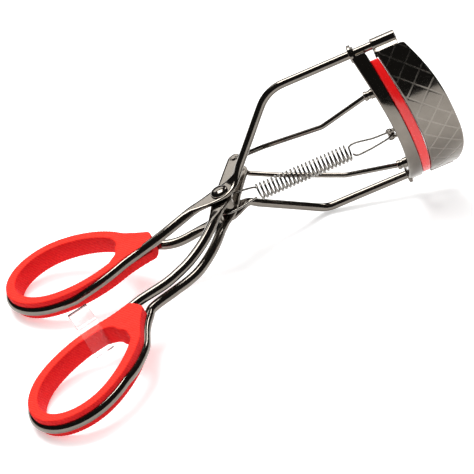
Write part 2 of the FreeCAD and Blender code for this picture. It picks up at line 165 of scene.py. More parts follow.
# ---------------------------------------------------------------- materials
class Nodes:
    """A short way to write one material's node tree."""

    def __init__(self, name):
        self.material = bpy.data.materials.new(name)
        self.material.use_nodes = True
        self.tree = self.material.node_tree
        self.shader = self.tree.nodes["Principled BSDF"]

    def add(self, kind, **settings):
        node = self.tree.nodes.new(kind)
        for key, value in settings.items():
            setattr(node, key, value)
        return node

    def link(self, a, b):
        self.tree.links.new(a, b)

    def math(self, operation, a, b=0.0):
        node = self.add("ShaderNodeMath", operation=operation)
        for socket, value in zip(node.inputs, (a, b)):
            if isinstance(value, (int, float)):
                socket.default_value = value
            else:
                self.link(value, socket)
        return node.outputs[0]

    def in_mm(self, stretch=(1, 1, 1)):
        """Object coordinates in millimetres."""
        place = self.add("ShaderNodeTexCoord")
        mapping = self.add("ShaderNodeMapping")
        mapping.inputs["Scale"].default_value = [1000 * s for s in stretch]
        self.link(place.outputs["Object"], mapping.inputs["Vector"])
        return mapping.outputs["Vector"]

    def noise(self, per_mm, detail=3.0, stretch=(1, 1, 1)):
        node = self.add("ShaderNodeTexNoise")
        node.inputs["Scale"].default_value = per_mm
        node.inputs["Detail"].default_value = detail
        self.link(self.in_mm(stretch), node.inputs["Vector"])
        return node.outputs["Fac"]

    def spread(self, value, low, high, from_low=0.3, from_high=0.7):
        node = self.add("ShaderNodeMapRange")
        for name, number in (("From Min", from_low), ("From Max", from_high),
                             ("To Min", low), ("To Max", high)):
            node.inputs[name].default_value = number
        self.link(value, node.inputs["Value"])
        return node.outputs["Result"]

    def colours(self, value, dark, light):
        node = self.add("ShaderNodeValToRGB")
        for element, colour in zip(node.color_ramp.elements, (dark, light)):
            element.color = (*colour, 1)
        self.link(value, node.inputs["Fac"])
        return node.outputs["Color"]

    def bump(self, height, depth_mm, strength=1.0):
        node = self.add("ShaderNodeBump")
        node.inputs["Distance"].default_value = depth_mm / 1000
        node.inputs["Strength"].default_value = strength
        self.link(height, node.inputs["Height"])
        self.link(node.outputs["Normal"], self.shader.inputs["Normal"])

    def fix(self, **values):
        for name, value in values.items():
            self.shader.inputs[name.replace("_", " ")].default_value = value


def black_nickel(name="black_nickel"):
    """Dark mirror plate, with faint handling marks and slightly duller patches."""
    m = Nodes(name)
    m.fix(Metallic=1.0)
    patches = m.noise(0.35, 4)
    marks = m.noise(3.0, 5, (0.25, 1, 1))
    m.link(m.colours(patches, (0.155, 0.138, 0.118), (0.22, 0.198, 0.172)), m.shader.inputs["Base Color"])
    m.link(m.spread(marks, 0.07, 0.17), m.shader.inputs["Roughness"])
    m.bump(marks, 0.004)
    return m


def engraved_nickel():
    """Black nickel with an engraved lattice: the cut lines are brighter and duller than the plate."""
    m = black_nickel("engraved_nickel")
    uv = m.add("ShaderNodeUVMap")
    split = m.add("ShaderNodeSeparateXYZ")
    m.link(uv.outputs["UV"], split.inputs[0])
    lines = []
    for operation in ("ADD", "SUBTRACT"):
        across = m.math(operation, split.outputs[0], split.outputs[1])
        lines.append(m.math("PINGPONG", across, 0.5))
    nearest = m.math("MINIMUM", lines[0], lines[1])
    cut = m.spread(nearest, 1.0, 0.0, 0.03, 0.075)
    mix = m.add("ShaderNodeMix", data_type="RGBA")
    plain = m.shader.inputs["Base Color"].links[0].from_socket
    m.link(m.math("MULTIPLY", cut, 0.7), mix.inputs[0])
    m.link(plain, mix.inputs[6])
    mix.inputs[7].default_value = (0.27, 0.245, 0.215, 1)
    m.link(mix.outputs[2], m.shader.inputs["Base Color"])
    rough = m.shader.inputs["Roughness"].links[0].from_socket
    m.link(m.math("ADD", rough, m.math("MULTIPLY", cut, 0.22)), m.shader.inputs["Roughness"])
    return m.material


def grip_rubber():
    """Matt red rubber with a fine woven moulding; faces that point up are painted lighter and more orange as
    painted top light, and the walls a deeper red as painted shade.
    """
    m = Nodes("grip_rubber")
    m.fix(Specular_IOR_Level=0.12)
    blotches = m.noise(0.5, 4)
    weave = m.add("ShaderNodeTexWave", wave_type="BANDS", bands_direction="DIAGONAL")
    weave.inputs["Scale"].default_value = 0.7
    weave.inputs["Distortion"].default_value = 2.5
    weave.inputs["Detail Scale"].default_value = 2.0
    m.link(m.in_mm(), weave.inputs["Vector"])
    grain = m.noise(2.2, 5)
    height = m.math("ADD", m.math("MULTIPLY", weave.outputs["Fac"], 0.35), grain)
    faces = m.add("ShaderNodeTexCoord")
    split = m.add("ShaderNodeSeparateXYZ")
    m.link(faces.outputs["Normal"], split.inputs[0])
    # painted light: the up-facing mask gives tops the light orange end of the ramp and walls the deep red
    # end; weave and grain add real texture on top
    flat = m.spread(split.outputs[2], -0.12, 0.42, 0.35, 0.95)
    painted_light_and_weave = m.math("ADD", flat, m.math("MULTIPLY", height, 0.6))
    m.link(m.colours(painted_light_and_weave, (0.70, 0.0, 0.010), (0.96, 0.045, 0.026)), m.shader.inputs["Base Color"])
    m.link(m.spread(blotches, 0.55, 0.7), m.shader.inputs["Roughness"])
    m.bump(height, 0.10, 0.9)
    return m.material


def pad_silicone():
    """Smooth glossy red silicone, faintly cloudy inside."""
    m = Nodes("pad_silicone")
    m.fix(Subsurface_Weight=0.15, Subsurface_Scale=0.001, Coat_Weight=0.3)
    cloud = m.noise(0.6, 3)
    m.link(m.colours(cloud, (0.80, 0.006, 0.010), (0.92, 0.016, 0.014)), m.shader.inputs["Base Color"])
    m.link(m.spread(m.noise(2.5, 2), 0.16, 0.28), m.shader.inputs["Roughness"])
    m.bump(cloud, 0.03)
    return m.material


def clear_plastic():
    """Clear moulded band, faintly wavy."""
    m = Nodes("clear_plastic")
    m.fix(Transmission_Weight=1.0, IOR=1.3, Base_Color=(0.99, 0.975, 0.975, 1))
    waves = m.noise(0.4, 2)
    m.link(m.spread(waves, 0.02, 0.07), m.shader.inputs["Roughness"])
    m.bump(waves, 0.05)
    return m.material


def spring_steel():
    """Bright drawn wire."""
    m = Nodes("spring_steel")
    m.fix(Metallic=1.0)
    drawn = m.noise(4.0, 3, (0.2, 1, 1))
    m.link(m.colours(drawn, (0.17, 0.155, 0.138), (0.30, 0.28, 0.25)), m.shader.inputs["Base Color"])
    m.link(m.spread(drawn, 0.14, 0.28), m.shader.inputs["Roughness"])
    m.bump(drawn, 0.01)
    return m.material


def pale_floor():
    m = Nodes("pale_floor")
    m.link(m.colours(m.noise(0.02, 2), (0.86, 0.86, 0.86), (0.88, 0.878, 0.875)),
           m.shader.inputs["Base Color"])
    m.link(m.spread(m.noise(0.05, 2), 0.75, 0.85), m.shader.inputs["Roughness"])
    m.fix(Specular_IOR_Level=0.1, Emission_Color=(1, 1, 1, 1), Emission_Strength=0.42)
    return m.material


NICKEL = black_nickel().material
ENGRAVED = engraved_nickel()
GRIP_RED = grip_rubber()
PAD_RED = pad_silicone()
CLEAR = clear_plastic()
SPRING = spring_steel()


# ---------------------------------------------------------------- meshes
class Shape:
    """Vertices in design millimetres and the faces between them."""

    def __init__(self):
        self.verts = []
        self.faces = []
        self.uvs = {}

    def rings(self, rings, closed=False):
        """Skin a run of equal rings of points; unless it is closed, each end gets a flat cap."""
        count = len(rings[0])
        first = len(self.verts)
        for ring in rings:
            self.verts.extend(Vector(p) for p in ring)
        spans = len(rings) if closed else len(rings) - 1
        for i in range(spans):
            a = first + i * count
            b = first + (i + 1) % len(rings) * count
            for k in range(count):
                n = (k + 1) % count
                self.faces.append((a + k, a + n, b + n, b + k))
        if not closed:
            last = first + (len(rings) - 1) * count
            self.faces.append(tuple(range(first + count - 1, first - 1, -1)))
            self.faces.append(tuple(range(last, last + count)))
        return self

    def join(self, other):
        """Add another shape to this one."""
        first = len(self.verts)
        self.verts += other.verts
        self.faces += [tuple(first + i for i in face) for face in other.faces]

    def piece(self, name, material, body, nodes=(), sharp=CRISP):
        """Make the shape an object of this material that rides on a body and stands for CAD nodes."""
        mesh = bpy.data.meshes.new(name)
        mesh.from_pydata([TO_ROW @ v for v in self.verts], [], self.faces)
        if self.uvs:
            layer = mesh.uv_layers.new(name="UVMap")
            for loop in mesh.loops:
                layer.data[loop.index].uv = self.uvs.get(loop.vertex_index, (0.25, 0))
        bm = bmesh.new()
        bm.from_mesh(mesh)
        bmesh.ops.dissolve_degenerate(bm, dist=1e-7, edges=bm.edges)
        bmesh.ops.recalc_face_normals(bm, faces=bm.faces)
        bm.to_mesh(mesh)
        bm.free()
        mesh.shade_smooth()
        mesh.set_sharp_from_angle(angle=math.radians(sharp))
        mesh.materials.append(material)
        piece = bpy.data.objects.new(name, mesh)
        bpy.context.scene.collection.objects.link(piece)
        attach(piece, body)
        if nodes:
            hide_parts(*nodes)
        return piece


def oval(half_width, half_height, power=2, count=28):
    """Points of a rounded section: power 2 is an ellipse, a higher power squares it off."""
    points = []
    for k in range(count):
        c = math.cos(2 * math.pi * k / count)
        s = math.sin(2 * math.pi * k / count)
        points.append((math.copysign(abs(c) ** (2 / power), c) * half_width,
                       math.copysign(abs(s) ** (2 / power), s) * half_height))
    return points


def corner_arc(before, corner, after, radius, samples):
    """Points of the arc that rounds a corner between two straight stretches."""
    a = (before - corner).normalized()
    b = (after - corner).normalized()
    half = a.angle(b) / 2
    reach = radius / math.tan(half)
    centre = corner + (a + b).normalized() * (radius / math.sin(half))
    first, last = corner + a * reach - centre, corner + b * reach - centre
    return [centre + first.normalized().slerp(last.normalized(), k / samples) * radius
            for k in range(samples + 1)]


def bent(points, radii, samples=8):
    """A run of straight stretches with an arc at each corner."""
    result = [points[0]]
    for before, corner, after, radius in zip(points, points[1:], points[2:], radii):
        result += corner_arc(before, corner, after, radius, samples)
    return result + [points[-1]]


def rounded_section(corners, samples=3):
    """A closed outline in two dimensions from (x, y, corner radius)."""
    spots = [Vector((x, y, 0)) for x, y, _ in corners]
    result = []
    for k, (_, _, radius) in enumerate(corners):
        arc = corner_arc(spots[k - 1], spots[k], spots[(k + 1) % len(spots)], radius, samples)
        result += [(p.x, p.y) for p in arc]
    return result


def rectangle(half_width, half_height, radius):
    return rounded_section([(half_width, -half_height, radius), (half_width, half_height, radius),
                            (-half_width, half_height, radius), (-half_width, -half_height, radius)])


def curve_through(controls, step):
    """Evenly stepped smooth run through (point, *numbers) controls; the numbers change along it."""
    points = [c[0] for c in controls]
    ends = [points[0] * 2 - points[1]] + points + [points[-1] * 2 - points[-2]]
    run = []
    for i in range(len(points) - 1):
        p0, p1, p2, p3 = ends[i:i + 4]
        t1 = max((p1 - p0).length, 1e-6) ** 0.5
        t2 = t1 + max((p2 - p1).length, 1e-6) ** 0.5
        t3 = t2 + max((p3 - p2).length, 1e-6) ** 0.5
        count = max(1, round((p2 - p1).length / step))
        for k in range(count + (i == len(points) - 2)):
            share = k / count
            t = t1 + (t2 - t1) * share
            a1 = p0 * ((t1 - t) / t1) + p1 * (t / t1)
            a2 = p1 * ((t2 - t) / (t2 - t1)) + p2 * ((t - t1) / (t2 - t1))
            a3 = p2 * ((t3 - t) / (t3 - t2)) + p3 * ((t - t2) / (t3 - t2))
            b1 = a1 * ((t2 - t) / t2) + a2 * (t / t2)
            b2 = a2 * ((t3 - t) / (t3 - t1)) + a3 * ((t - t1) / (t3 - t1))
            point = b1 * ((t2 - t) / (t2 - t1)) + b2 * ((t - t1) / (t2 - t1))
            numbers = [a + (b - a) * share for a, b in zip(controls[i][1:], controls[i + 1][1:])]
            run.append((point, *numbers))
    return run


def smooth(points, step):
    return [station[0] for station in curve_through([(p,) for p in points], step)]


def evenly(points, count):
    """The same run of points, stepped evenly into count points."""
    lengths = [0.0]
    for p, q in zip(points, points[1:]):
        lengths.append(lengths[-1] + (q - p).length)
    result = []
    i = 0
    for k in range(count):
        want = lengths[-1] * k / (count - 1)
        while i < len(points) - 2 and lengths[i + 1] < want:
            i += 1
        share = (want - lengths[i]) / max(lengths[i + 1] - lengths[i], 1e-9)
        result.append(points[i].lerp(points[i + 1], share))
    return result


def tangents(points, closed=False):
    count = len(points)
    result = []
    for i in range(count):
        before = points[i - 1] if closed or i else points[0]
        after = points[(i + 1) % count] if closed or i < count - 1 else points[-1]
        result.append((after - before).normalized())
    return result


def sweep(points, sections, up=UP, closed=False):
    """Skin sections of (sideways, upward) points carried along a run of points, kept upright."""
    rings = []
    for point, head, section in zip(points, tangents(points, closed), sections):
        normal = (up - head * up.dot(head)).normalized()
        side = head.cross(normal)
        rings.append([point + side * a + normal * b for a, b in section])
    return Shape().rings(rings, closed)


def round_bar(points, radius, step, up=UP, count=20):
    """A round bar with a small chamfer at each end."""
    course = smooth(points, step)
    chamfer = radius * 0.25
    first = course[0] + (course[1] - course[0]).normalized() * chamfer
    last = course[-1] + (course[-2] - course[-1]).normalized() * chamfer
    course = [course[0], first] + course[2:-2] + [last, course[-1]]
    full = oval(radius, radius, 2, count)
    tip = oval(radius * 0.75, radius * 0.75, 2, count)
    return sweep(course, [tip] + [full] * (len(course) - 2) + [tip], up)


def lathe(profile, centre, axis, closed=False, count=48):
    """Turn (distance along, radius) points about an axis; closed makes a ring of the profile."""
    axis = Vector(axis)
    side = axis.orthogonal().normalized()
    other = axis.cross(side)
    rings = []
    for along, radius in profile:
        ring = []
        for k in range(count):
            angle = 2 * math.pi * k / count
            spoke = side * math.cos(angle) + other * math.sin(angle)
            ring.append(centre + axis * along + spoke * radius)
        rings.append(ring)
    return Shape().rings(rings, closed)


# ---------------------------------------------------------------- handles
class Loop:
    """One finger loop: its place, the bow of its sides, and where its grip ends."""

    def __init__(self, at, angle, bow, tip):
        turn = math.radians(angle)
        self.at = at
        self.u = Vector((math.cos(turn), math.sin(turn), 0))
        self.v = Vector((-math.sin(turn), math.cos(turn), 0))
        self.bow = bow
        self.tip = tip

    def point(self, u, v, z=0.0):
        return self.at + self.u * u + self.v * v + UP * z

    def height(self, u):
        return math.sqrt(self.bow ** 2 - (u - LOOP_WIDEST) ** 2) - self.bow + LOOP_HALF_WIDTH

    def ring(self, first_side):
        """Points of the wire's middle line from near one arm round to near the other."""
        start, samples = 6.5, 7
        steps = [start + (LOOP_WIDEST - start) * k / samples for k in range(samples)]
        rise = [LOOP_RISE * max(0.0, 1 - (u / LOOP_LEVEL) ** 3) for u in steps]
        one = [self.point(u, first_side * self.height(u), z) for u, z in zip(steps, rise)]
        other = [self.point(u, -first_side * self.height(u), -z) for u, z in zip(steps, rise)][::-1]
        end = []
        for k in range(13):
            angle = math.pi / 2 - math.pi * k / 12
            end.append(self.point(LOOP_WIDEST + LOOP_END * math.cos(angle),
                                  first_side * LOOP_HALF_WIDTH * math.sin(angle)))
        return one + end + other


FRAME_LOOP = Loop(*FRAME_LOOP_PLACE)
LEVER_LOOP = Loop(*LEVER_LOOP_PLACE)
# The wire's way into each loop, as (along, across, height), for the upper (1) and lower (-1) arm.
FRAME_ENTRY = {
    1: [(-4.7, 1.2, 1.95), (-2.0, 2.1, 1.5), (0.0, 2.75, 1.2), (2.0, 3.6, 1.05), (4.0, 4.55, 0.95)],
    -1: [(-4.7, -0.8, -1.95), (-2.0, -1.7, -1.5), (0.0, -2.5, -1.2), (2.0, -3.4, -1.05),
         (4.0, -4.4, -0.95)]}
LEVER_ENTRY = {
    1: [(-3.6, -2.2, 1.2), (-1.0, -3.2, 1.1), (1.6, -4.2, 1.0), (4.0, -5.3, 0.95)],
    -1: [(-3.7, -0.2, -1.2), (-1.5, 0.85, -1.15), (0.7, 2.1, -1.05), (2.9, 3.7, -1.0), (4.7, 5.3, -0.95)]}
# The arms between the flattened plates and the loops, as (x, y, distance from the middle plane).
FRAME_ARM = {
    1: [(-9.4, -2.6, 2.7), (-12.9, -3.95, 2.35)],
    -1: [(-9.4, -2.4, 2.7), (-12.9, -3.3, 2.35)]}
LEVER_ARM = {
    1: [(-3.6, -8.4, 1.75), (-5.7, -11.9, 1.6), (-8.1, -14.9, 1.45), (-10.6, -17.4, 1.35),
        (-13.4, -19.4, 1.3), (-16.4, -21.1, 1.3)],
    -1: [(-3.5, -8.6, 1.75), (-5.1, -12.1, 1.6), (-7.1, -15.5, 1.4), (-9.3, -18.2, 1.3),
         (-12.1, -20.1, 1.25), (-15.6, -21.6, 1.25)]}


def loop_course(loop, entry, first_side):
    """The wire's middle line from the upper arm's entry round to the lower arm's."""
    into = [loop.point(*p) for p in entry[1]]
    out = [loop.point(*p) for p in reversed(entry[-1])]
    return into + loop.ring(first_side) + out


def round_controls(points, radius=HANDLE_R):
    return [(p, radius, radius, 2) for p in points]


def frame_half(side):
    """Guide rod, shoulder, flattened plate and arm of one side of the frame's wire."""
    rod = bent([Vector((ROD_TIP_X, ROD_Y, ROD_Z)), Vector((CORNER_X, ROD_Y, ROD_Z)), SHOULDER_END],
               [CORNER_BEND[side]])
    rod[1:1] = [Vector((x, ROD_Y, ROD_Z)) for x in (44.0, 38.0, 32.0, 27.0)]
    heading = (rod[-2] - SHOULDER_END).normalized()
    rod[-1:] = [SHOULDER_END + heading * 8.0, SHOULDER_END + heading * 3.0]
    z, t = FRAME_Z, PLATE_HALF_T
    controls = round_controls(rod, ROD_R)
    controls += [(Vector((4.4, 2.5, 3.75)), 1.2, 0.82, 2.3),
                 (Vector((2.5, 1.35, 3.05)), 1.95, t + 0.06, 3.5),
                 (Vector((1.2, 0.6, z)), 2.3, t, 5), (Vector((0, 0, z)), 2.4, t, 5),
                 (Vector((-1.4, -0.4, z)), 2.3, t, 5), (Vector((-3.6, -0.9, z)), 1.8, t, 5),
                 (Vector((-5.6, -1.3, z - 0.02)), 1.4, t + 0.1, 4),
                 (Vector((-7.4, -1.75, 2.85)), 1.2, 0.95, 2.6)]
    controls += round_controls([Vector(p) for p in FRAME_ARM[side]])
    return [(mirrored(c[0], side), *c[1:]) for c in controls]


def lever_half(side):
    """Rounded tip, flattened plate and arm of one side of the lever's wire."""
    heading = SHORT_ARM.normalized()
    t = PLATE_HALF_T
    controls = []
    for share in (0.02, 0.08, 0.2, 0.4, 0.65, 1.0):
        back = SHORT_ARM_R * (1 - share)
        half_width = math.sqrt(SHORT_ARM_R ** 2 - back ** 2)
        controls.append((SHORT_ARM + heading * back + UP * LEVER_Z, half_width, t, 5))
    controls += [(Vector((1.5, 4.0, LEVER_Z)), 2.0, t, 5), (Vector((0, 0, LEVER_Z)), 2.45, t, 5),
                 (Vector((-0.9, -2.2, LEVER_Z)), 2.1, t, 5),
                 (Vector((-2.0, -4.6, LEVER_Z)), 1.5, t + 0.1, 4),
                 (Vector((-2.8, -6.6, LEVER_Z)), 1.22, 0.92, 2.6)]
    controls += round_controls([Vector(p) for p in LEVER_ARM[side]])
    return [(mirrored(c[0], side), *c[1:]) for c in controls]


def cut_out(piece, cutters):
    """Take round holes through a finished mesh."""
    for cutter in cutters:
        modifier = piece.modifiers.new("hole", "BOOLEAN")
        modifier.object = cutter
        modifier.solver = "EXACT"
        modifier.operation = "DIFFERENCE"
    bpy.context.view_layer.update()
    graph = bpy.context.evaluated_depsgraph_get()
    mesh = bpy.data.meshes.new_from_object(piece.evaluated_get(graph))
    piece.modifiers.clear()
    piece.data = mesh
    mesh.set_sharp_from_angle(angle=math.radians(CRISP))
    for cutter in cutters:
        bpy.data.objects.remove(cutter)


def hole_cutter(centre, radius):
    shape = lathe([(-6, radius), (6, radius)], centre, UP)
    mesh = bpy.data.meshes.new("cutter")
    mesh.from_pydata([TO_ROW @ v for v in shape.verts], [], shape.faces)
    cutter = bpy.data.objects.new("cutter", mesh)
    bpy.context.scene.collection.objects.link(cutter)
    return cutter


def wire_of(controls):
    """One bent wire through (point, half width, half height, squareness) controls."""
    run = curve_through(controls, WIRE_STEP)
    return sweep([station[0] for station in run], [oval(*station[1:]) for station in run])


def frame_wire():
    lower = frame_half(-1)
    controls = frame_half(1) + round_controls(loop_course(FRAME_LOOP, FRAME_ENTRY, 1)) + lower[::-1]
    nodes = ["frame_loop"]
    for name in ("upper", "lower"):
        nodes += ["guide_rod_" + name, "frame_plate_" + name, "frame_arm_" + name]
    wire_of(controls).piece("frame_wire", NICKEL, "frame", nodes, ROUND)


def lever_wire():
    lower = lever_half(-1)
    controls = lever_half(1) + round_controls(loop_course(LEVER_LOOP, LEVER_ENTRY, -1)) + lower[::-1]
    nodes = ["lever_loop"]
    for name in ("upper", "lower"):
        nodes += ["lever_plate_" + name, "lever_arm_" + name]
    wire = wire_of(controls).piece("lever_wire", NICKEL, "lever", nodes, ROUND)
    cut_out(wire, [hole_cutter(SHORT_ARM, LINK_HOLE_R)])


# ---------------------------------------------------------------- grips
def grip_section(depth, groove_z, groove):
    """(outward, up, ribbed) points from the finger hole out to the wire, with a groove for the wire."""
    h, r = GRIP_HALF_H, GRIP_CORNER_R
    groove_z = max(-GROOVE_SHIFT, min(GROOVE_SHIFT, groove_z))
    turns = [math.radians(22.5 * k) for k in range(5)]
    corner = [(r - r * math.cos(a), h - r + r * math.sin(a)) for a in turns]
    inside = [(-0.12 * math.cos(math.pi * k / 12), (h - r) * k / 6) for k in range(-5, 6)]
    flange = [(r + (depth - 2 * r) * k / 14, h) for k in range(1, 14)]
    outside = [(depth - x, z) for x, z in reversed(corner)]
    groove_points = []
    for k in range(11):
        angle = math.radians(78 + 204 * k / 10)
        x = depth - GRIP_OUTSIDE + GROOVE_R * math.cos(angle)
        groove_points.append((depth + (x - depth) * groove, groove_z + GROOVE_R * math.sin(angle), 0))
    upper = [(x, z, 1) for x, z in inside + corner + flange + outside]
    lower = [(x, -z, 1) for x, z in reversed(corner + flange + outside)]
    return upper + groove_points + lower


def grip_outlines(loop, entry, first_side):
    """Closed outer and inner outlines, station by station, with the wire's height at each."""
    def along(p):
        return (p - loop.at).dot(loop.u)

    course = smooth(loop_course(loop, entry, first_side), GRIP_STEP)
    wire = [p for p in course if along(p) > loop.tip]
    heights = [p.z for p in wire]
    flat = [Vector((p.x, p.y, 0)) for p in wire]
    sides = [UP.cross(head) * first_side for head in tangents(flat)]
    outer = [p + side * GRIP_OUTSIDE for p, side in zip(flat, sides)]
    inner = [p - side * GRIP_INSIDE for p, side in zip(flat, sides)]
    wide = [i for i, p in enumerate(inner) if along(p) > GRIP_MOUTH]
    first, last = wide[0], wide[-1]

    nose = (outer[0] + outer[-1]) / 2 - loop.u * 0.55
    bow = loop.u * 0.22
    tip = smooth([outer[-1], outer[-1].lerp(nose, 0.4) - bow, nose,
                  outer[0].lerp(nose, 0.4) - bow, outer[0]], GRIP_STEP)[1:-1]
    heights += [heights[-1] + (heights[0] - heights[-1]) * (k + 1) / (len(tip) + 1) for k in range(len(tip))]
    grooves = [1.0] * len(outer) + [0.0] * len(tip)
    outer += tip
    inner += tip
    across = [(inner[i] - loop.at).dot(loop.v) for i in (first, last)]
    web = loop.point(GRIP_WEB, sum(across) / 2)
    swell = loop.u * 0.7
    mouth = smooth([inner[last], inner[last].lerp(web, 0.6) - swell, web,
                    inner[first].lerp(web, 0.6) - swell, inner[first]], 0.05)
    stations = len(inner) - last + first + 1
    for k, spot in enumerate(evenly(mouth, stations)):
        inner[(last + k) % len(inner)] = spot
    return outer, inner, heights, grooves


def grip(name, loop, entry, first_side, body):
    """Soft ring inside the loop: it holds the wire in a groove, and a web fills its narrow end."""
    rings = []
    travelled = 0.0
    outlines = grip_outlines(loop, entry, first_side)
    before = outlines[0][-1]
    for outer, inner, height, groove in zip(*outlines):
        travelled += (outer - before).length
        before = outer
        across = outer - inner
        depth = across.length
        across.normalize()
        ring = []
        for k, (x, z, ribbed) in enumerate(grip_section(depth, height, groove)):
            phase = 2 * math.pi * (travelled / RIB_PITCH + (x + abs(z)) / RIB_SLANT)
            rib = RIB_HEIGHT * math.sin(phase) * ribbed
            spot = inner + across * x + UP * z
            lift = UP * math.copysign(1, z) if abs(z) > GRIP_HALF_H - 0.3 else -across
            ring.append(spot + lift * rib)
        rings.append(ring)
    Shape().rings(rings, closed=True).piece(name, GRIP_RED, body, [name.replace("_ring", "")], ROUND)


# ---------------------------------------------------------------- keeper band
def keeper_band():
    """Clear rectangular ring with rounded corners, round the side that faces the frame's loop."""
    slope = math.asin((LOOP_WIDEST - BAND_ALONG) / LEVER_LOOP.bow)
    turn = Matrix.Rotation(-slope, 3, "Z")
    along, out = turn @ LEVER_LOOP.u, -(turn @ LEVER_LOOP.v)
    middle = LEVER_LOOP.point(BAND_ALONG, -LEVER_LOOP.height(BAND_ALONG))
    near, far = -GRIP_INSIDE - 0.6, BAND_REACH + BAND_WALL / 2
    low, high = BAND_LOW + BAND_WALL / 2, BAND_HIGH - BAND_WALL / 2
    corners = ((near, low), (far, low), (far, high), (near, high))
    outline = rounded_section([(*corner, BAND_CORNER_R) for corner in corners], 6)
    points = []
    for k, (x, z) in enumerate(outline):
        nx, nz = outline[(k + 1) % len(outline)]
        steps = max(1, round(math.hypot(nx - x, nz - z) / 1.5))
        for step in range(steps):
            share = step / steps
            points.append(middle + out * (x + (nx - x) * share) + UP * (z + (nz - z) * share))
    section = rectangle(BAND_WALL / 2, BAND_WIDTH / 2, 0.18)
    band = sweep(points, [section] * len(points), along, True).piece(
        "keeper_band_ring", CLEAR, "lever", ["keeper_band"], ROUND)
    band.visible_shadow = False


# ---------------------------------------------------------------- pivot
def pivot_rivet():
    """Rivet with a domed upper head and a flatter lower one."""
    gap = RUNNING_GAP
    profile = []
    for k in range(9):
        angle = math.radians(90 * k / 8)
        profile.append((-PLATE_TOP - RIVET_HEAD_H * 0.7 * math.cos(angle),
                        gap + RIVET_FOOT_R * math.sin(angle)))
    profile += [(-PLATE_TOP + gap, RIVET_FOOT_R), (-PLATE_TOP + gap, RIVET_R), (PLATE_TOP - gap, RIVET_R),
                (PLATE_TOP - gap, RIVET_HEAD_R)]
    for k in range(11):
        angle = math.radians(90 * k / 10)
        profile.append((PLATE_TOP + 0.12 + (RIVET_HEAD_H - 0.12) * math.sin(angle),
                        gap + (RIVET_HEAD_R - gap) * math.cos(angle)))
    lathe(profile, Vector(), UP).piece("rivet", NICKEL, "frame", ["pivot_rivet"])


def spacer_bush():
    half, bore = SPACER_HALF_H, RIVET_R + RUNNING_GAP
    outline = rounded_section([(-half, bore, 0.08), (half, bore, 0.08),
                               (half, SPACER_R, 0.15), (-half, SPACER_R, 0.15)])
    lathe(outline, Vector(), UP, True).piece("spacer", NICKEL, "frame", ["spacer_bush"])


# ---------------------------------------------------------------- jaw
def jaw_point(x, offset, z, beyond=0.0):
    """A place on the jaw: x, its offset in from the curve, and how far across it lies."""
    angle = math.asin(z / JAW_R) + beyond / JAW_R
    radius = JAW_R - offset
    return Vector((x, JAW_CENTRE_Y - radius * math.cos(angle), radius * math.sin(angle)))


def bowed(edge, half_z, z, fullness=2.0):
    """How far forward a bowed edge lies, from its middle to its ends at half_z."""
    middle, end = edge
    return middle + (end - middle) * min(abs(z) / half_z, 1.0) ** fullness


def jaw_sweep(section, half_z, step):
    """Skin sections of (x, offset) points carried across the jaw, with slightly rounded ends."""
    count = round(2 * half_z / step)
    rings = []
    for k in range(count + 1):
        z = -half_z + 2 * half_z * k / count
        rings.append([jaw_point(x, offset, z) for x, offset in section(z)])
    for index, z in ((0, -half_z), (-1, half_z)):
        points = section(z)
        mid_x = sum(p[0] for p in points) / len(points)
        mid_offset = sum(p[1] for p in points) / len(points)
        for shrink, beyond in ((0.94, 0.12), (0.84, 0.18)):
            ring = [jaw_point(mid_x + (x - mid_x) * shrink, mid_offset + (o - mid_offset) * shrink, z,
                              math.copysign(beyond, z)) for x, o in points]
            rings.insert(0 if index == 0 else len(rings), ring)
    return Shape().rings(rings)


def lattice(x, arc):
    """How deep the engraving is at a place on the plate, from 0 to 1."""
    depth = 0.0
    for value in (x + arc, x - arc):
        away = abs((value / (math.sqrt(2) * LATTICE_CELL) + 0.5) % 1.0 - 0.5) * LATTICE_CELL
        depth = max(depth, 1.0 - away / LATTICE_LINE)
    return min(1.0, depth * 1.6) if depth > 0 else 0.0


def plate_section(z):
    """Sheet with its back edge folded in to make the pressing rim."""
    back = bowed(PLATE_BACK, PLATE_SPAN, z)
    front = bowed(PLATE_FRONT, PLATE_SPAN, z, 2.6)
    fold = PLATE_SKIN + RIM_DEPTH * min(1.0, max(0.07, (RIM_HALF_Z - abs(z)) / 0.5))
    near, far = -JAW_HALF_T, -JAW_HALF_T + PLATE_SKIN
    tight = min(0.25, (fold - PLATE_SKIN) * 0.45)
    folded = rounded_section([(front, near, 0.28), (front, far, 0.28), (back + PLATE_SKIN, far, tight),
                              (back + PLATE_SKIN, near + fold, tight), (back, near + fold, tight),
                              (back, near, 0.4)])
    start, end = back + 0.5, front - 0.4
    face = []
    for k in range(PLATE_COLUMNS + 1):
        x = start + (end - start) * k / PLATE_COLUMNS
        arc = math.asin(z / JAW_R) * (JAW_R - near)
        edge = min(1.0, k / 3, (PLATE_COLUMNS - k) / 3)
        face.append((x, near + LATTICE_DEPTH * lattice(x, arc) * edge))
    return folded + face


def top_plate():
    """Curved sheet, with the lattice's place on its outer face kept as UVs."""
    shape = jaw_sweep(plate_section, PLATE_HALF_Z, PLATE_STEP)
    count = len(plate_section(0))
    scale = math.sqrt(2) * LATTICE_CELL
    for index, spot in enumerate(shape.verts):
        if index % count >= count - PLATE_COLUMNS - 1:
            angle = math.atan2(spot.z, JAW_CENTRE_Y - spot.y)
            shape.uvs[index] = (spot.x / scale, angle * (JAW_R + JAW_HALF_T) / scale)
    shape.piece("curved_plate", ENGRAVED, "frame", ["top_plate"])


